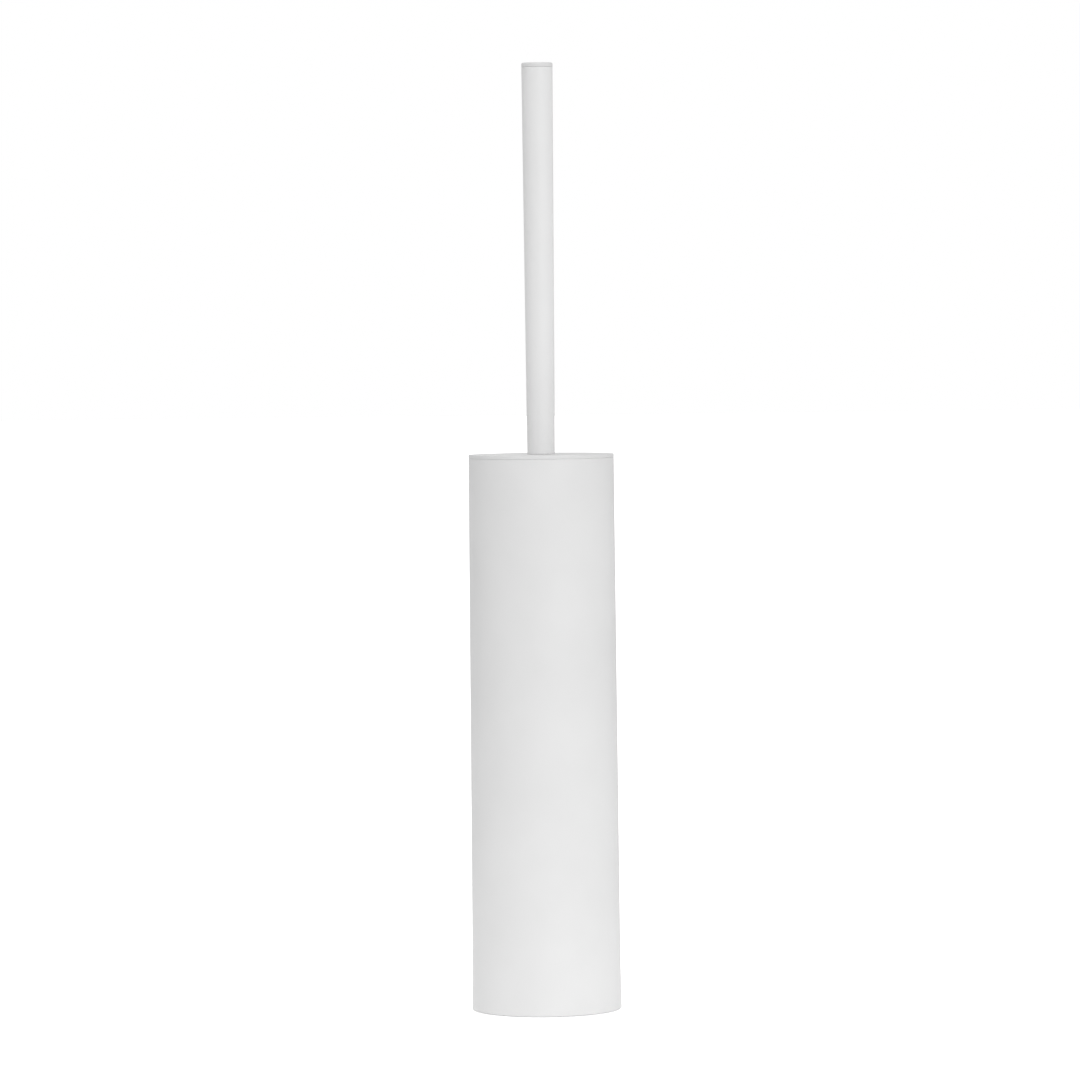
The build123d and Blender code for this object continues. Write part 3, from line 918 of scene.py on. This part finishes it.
def bristles(tufts, aims, sizes, count, seed):
    """Tufts of filaments as one surface, worked out as whole arrays.

    A filament's root is its tuft's root, moved within the tuft's small disc. Its direction is the tuft's
    aim, splayed more the further its root is from the disc's middle. Its centre line at share s of its
    length is root + direction s + sway (s squared - s), and its section there is a triangle square to its
    aim. Both ends are closed.
    """
    random = np.random.default_rng(seed)
    total = len(tufts) * count
    aim = np.repeat(aims, count, 0)
    across = np.cross(aim, [0.31, 0.17, 0.94])
    across /= np.linalg.norm(across, axis=1)[:, None]
    other = np.cross(aim, across)
    out, turn = np.sqrt(random.random(total))[:, None], random.random(total)[:, None] * TURN
    offset = out * (np.cos(turn) * across + np.sin(turn) * other)
    roots = np.repeat(tufts, count, 0) + sizes.tuft * offset
    along = aim + BRISTLE_SPLAY * offset + BRISTLE_SCATTER * random.standard_normal((total, 3))
    along /= np.linalg.norm(along, axis=1)[:, None]
    reach = trimmed(roots, along) - random.random(total) * BRISTLE_RAGGED
    sway = random.standard_normal((total, 3)) * BRISTLE_SWAY
    sway -= (sway * along).sum(1)[:, None] * along
    shares = np.linspace(0, 1, 4)
    middle = (roots[:, None] + along[:, None] * (reach[:, None] * shares)[..., None]
              + sway[:, None] * (shares ** 2 - shares)[:, None])
    corners = np.arange(3) * TURN / 3
    section = (np.cos(corners)[:, None] * across[:, None, None]
               + np.sin(corners)[:, None] * other[:, None, None])
    points = middle[:, :, None] + section * sizes.filament / 2
    first = (np.arange(total) * 12)[:, None, None]
    row, side = np.arange(3)[:, None] * 3, np.arange(3)[None]
    turned = (side + 1) % 3
    quads = np.stack([row + side, row + turned, row + turned + 3, row + side + 3], -1)
    caps = np.array([[0, 2, 1], [9, 10, 11]])
    faces = [(quads[None] + first[..., None]).reshape(-1, 4), (caps[None] + first).reshape(-1, 3)]
    return points.reshape(-1, 3), faces


class BRUSH_HOLDER_OT_bristles(bpy.types.Operator):
    """Makes the bristles: rows of tufts round the core, and rings of tufts that fan out under it"""
    bl_idname = "brush_holder.bristles"
    bl_label = "Bristles"

    def execute(self, context):
        scene = context.scene
        sizes, counts = scene.brush_holder_sizes, scene.brush_holder_counts
        side = high("brush_core").x
        split, top = low("side_bristles").z, high("side_bristles").z
        row, place = np.meshgrid(np.arange(counts.rows), np.arange(counts.round), indexing="ij")
        angle = (place + row % 2 / 2).ravel() * TURN / counts.round
        height = split + (row.ravel() + 0.5) * (top - split) / counts.rows
        aims = np.stack([np.cos(angle), np.sin(angle), 0 * angle], 1)
        tufts = aims * (side - TUFT_SINK) + np.stack([0 * angle, 0 * angle, height], 1)
        piece("side_tufts", bristles(tufts, aims, sizes, counts.filaments, 11), finish_of(nylon_filament),
              "head", "bristle", "side_bristles")

        ring = np.arange(TIP_RINGS)
        around = np.where(ring == 0, 1, TIP_TUFTS * ring)
        share = np.repeat(ring / (TIP_RINGS - 1), around)
        step = np.concatenate([np.arange(n) / n for n in around])
        angle = step * TURN + share * TIP_TURN
        lean = share * TIP_LEAN
        aims = np.stack([np.sin(lean) * np.cos(angle), np.sin(lean) * np.sin(angle), -np.cos(lean)], 1)
        out = (side - TIP_TUFT_SINK) * np.sin(share * TURN / 4)
        rise = TIP_TUFT_RISE * share ** 2 + 0.6 * MM
        tufts = np.stack([out * np.cos(angle), out * np.sin(angle), low("brush_core").z + rise], 1)
        piece("tip_tufts", bristles(tufts, aims, sizes, counts.filaments, 12), finish_of(nylon_filament),
              "head", "bristle", "tip_bristles")
        return {"FINISHED"}


class BRUSH_HOLDER_OT_inserts(bpy.types.Operator):
    """Gives the threaded brass inserts, which keep their own shape, their turned finish"""
    bl_idname = "brush_holder.inserts"
    bl_label = "Threaded inserts"

    def execute(self, context):
        for node in ("handle_insert", "core_insert"):
            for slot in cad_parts[node].material_slots:
                slot.material = finish_of(turned_brass)
        return {"FINISHED"}


class BRUSH_HOLDER_OT_stage(bpy.types.Operator):
    """Makes the plain studio: a white floor, soft lights and the camera"""
    bl_idname = "brush_holder.stage"
    bl_label = "Studio"

    def execute(self, context):
        scene, stage = context.scene, context.scene.brush_holder_stage
        reach, cells = 20, 8
        side = np.linspace(-reach, reach, cells + 1)
        x, y = np.meshgrid(side, side, indexing="ij")
        i, j = np.meshgrid(np.arange(cells), np.arange(cells), indexing="ij")
        corner = (i * (cells + 1) + j).ravel()
        mesh = bpy.data.meshes.new("studio_floor")
        mesh.from_pydata(np.stack([x.ravel(), y.ravel(), 0 * x.ravel()], 1).tolist(), [],
                         np.stack([corner, corner + cells + 1, corner + cells + 2, corner + 1], 1).tolist())
        floor = bpy.data.objects.new("studio_floor", mesh)
        scene.collection.objects.link(floor)
        mesh.materials.append(self.lit_floor(scene))

        middle = (0, 0, 0.25)
        self.light(scene, "key_light", stage.key, 1.2, (1.1, -2.5, 1.0), middle)
        self.light(scene, "top_light", stage.top, 2.4, (-0.4, 0.3, 2.6), middle)
        self.light(scene, "floor_glow", stage.glow, 0.7, (0, 0, 1 * MM), (0, 0, 1)).visible_camera = False
        self.studio_walls(scene, stage.room)
        self.camera(scene, stage)
        scene.view_settings.view_transform = "Standard"
        return {"FINISHED"}

    @staticmethod
    def lit_floor(scene):
        """Matte white acrylic, so brightly lit where it is seen that it reads as plain white."""
        material, tree, shader, place = blank("matte_white_acrylic")
        haze = noise(tree, place, 300.0)
        path = add(tree, "ShaderNodeLightPath")
        tree.links.new(spread(tree, haze, 0.85, 0.95), shader.inputs["Roughness"])
        tree.links.new(path.outputs["Is Camera Ray"], shader.inputs["Emission Strength"])
        shader.inputs["Base Color"].default_value = linear(scene.brush_holder_colours.floor)
        shader.inputs["Specular IOR Level"].default_value = 0.1
        shader.inputs["Emission Color"].default_value = (1, 1, 1, 1)
        return material

    @staticmethod
    def light(scene, name, power, size, place, aim):
        """A round soft light of that diameter, facing a point."""
        data = bpy.data.lights.new(name, "AREA")
        data.shape = "DISK"
        data.energy, data.size = power, size
        lamp = bpy.data.objects.new(name, data)
        scene.collection.objects.link(lamp)
        lamp.location = place
        lamp.rotation_euler = (Vector(aim) - Vector(place)).to_track_quat("-Z", "Y").to_euler()
        return lamp

    @staticmethod
    def studio_walls(scene, brightness):
        """Pale walls all round: white where they are seen, and dimmer in the light that they give."""
        world = bpy.data.worlds.new("studio_walls")
        scene.world = world
        world.use_nodes = True
        tree = world.node_tree
        tree.nodes.clear()
        given = add(tree, "ShaderNodeBackground", inputs={"Color": (1, 1, 1, 1), "Strength": brightness})
        seen = add(tree, "ShaderNodeBackground", inputs={"Color": (1, 1, 1, 1), "Strength": 1.0})
        path = add(tree, "ShaderNodeLightPath")
        both = add(tree, "ShaderNodeMixShader", inputs={0: path.outputs["Is Camera Ray"],
                                                        1: given.outputs[0], 2: seen.outputs[0]})
        add(tree, "ShaderNodeOutputWorld", inputs={"Surface": both.outputs[0]})

    @staticmethod
    def camera(scene, stage):
        """A long lens, a little above the lid, aimed down at the object's middle and rolled a trifle."""
        data = bpy.data.cameras.new("camera")
        data.sensor_width, data.lens = 36.0, stage.lens
        data.clip_end = 100.0
        camera = bpy.data.objects.new("camera", data)
        scene.collection.objects.link(camera)
        eye = Vector((0, -stage.distance, stage.eye))
        aim = Vector((-stage.aside, 0, stage.aim))
        look = (aim - eye).to_track_quat("-Z", "Y").to_matrix().to_4x4()
        camera.matrix_world = Matrix.Translation(eye) @ look @ Matrix.Rotation(-stage.roll, 4, "Z")
        scene.camera = camera


PIECES = (
    BRUSH_HOLDER_OT_sleeve,
    BRUSH_HOLDER_OT_base,
    BRUSH_HOLDER_OT_liner,
    BRUSH_HOLDER_OT_lid,
    BRUSH_HOLDER_OT_handle,
    BRUSH_HOLDER_OT_stem,
    BRUSH_HOLDER_OT_core,
    BRUSH_HOLDER_OT_bristles,
    BRUSH_HOLDER_OT_inserts,
)
SETTINGS = {
    "brush_holder_sizes": BrushHolderSizes,
    "brush_holder_counts": BrushHolderCounts,
    "brush_holder_colours": BrushHolderColours,
    "brush_holder_stage": BrushHolderStage,
}


class BRUSH_HOLDER_PT_panel(bpy.types.Panel):
    """Lists the pieces and their settings"""
    bl_label = "Brush Holder"
    bl_space_type = "VIEW_3D"
    bl_region_type = "UI"
    bl_category = "Brush Holder"

    def draw(self, context):
        for name, group in SETTINGS.items():
            box = self.layout.box()
            for prop in group.__annotations__:
                box.prop(getattr(context.scene, name), prop)
        for operator in (*PIECES, BRUSH_HOLDER_OT_stage):
            self.layout.operator(operator.bl_idname)


CLASSES = (*SETTINGS.values(), *PIECES, BRUSH_HOLDER_OT_stage, BRUSH_HOLDER_PT_panel)


def register():
    for each in CLASSES:
        bpy.utils.register_class(each)
    for name, group in SETTINGS.items():
        setattr(bpy.types.Scene, name, PointerProperty(type=group))


def unregister():
    for name in SETTINGS:
        delattr(bpy.types.Scene, name)
    for each in reversed(CLASSES):
        bpy.utils.unregister_class(each)


def main():
    """Builds everything."""
    register()
    for operator in (*PIECES, BRUSH_HOLDER_OT_stage):
        group, name = operator.bl_idname.split(".")
        getattr(getattr(bpy.ops, group), name)()


if __name__ == "__main__":
    main()
